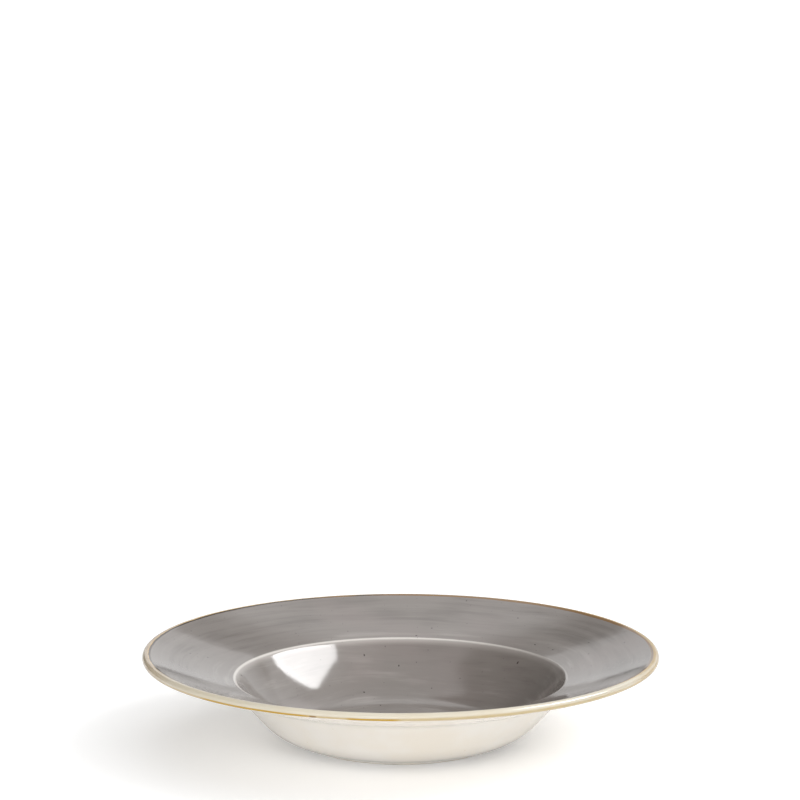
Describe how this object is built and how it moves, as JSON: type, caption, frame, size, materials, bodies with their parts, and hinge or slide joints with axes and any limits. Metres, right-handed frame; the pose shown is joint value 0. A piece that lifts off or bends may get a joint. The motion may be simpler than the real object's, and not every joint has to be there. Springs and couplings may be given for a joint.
{
  "type": "pasta plate",
  "caption": "Round wide-rimmed plate with a deep central well for pasta or soup, on a low foot ring, grey reactive glaze with a cream lip and cream back.",
  "frame": {"origin": "centre of the foot ring, on the plane that it stands on", "axes": "+Z is the plate's axis, pointing up out of the well; X and Y are alike, because the plate is round"},
  "size_m": [0.28, 0.28, 0.0505],
  "materials": {
    "bare_clay": "matte, unglazed vitrified clay with fine grain",
    "grey_glaze": "glossy warm grey, brushed in rings, with a few small dark specks",
    "brown_line": "glossy, burnt brown running out to ochre",
    "lip_cream": "glossy warm cream",
    "gold_line": "glossy golden ochre, broken and uneven",
    "back_cream": "glossy pale cream"
  },
  "bodies": {
    "root": {"clay_body": "bare_clay", "face_glaze": "grey_glaze", "inner_line": "brown_line", "lip_glaze": "lip_cream", "outer_line": "gold_line", "back_glaze": "back_cream", "recess_glaze": "back_cream"}
  },
  "joints": []
}
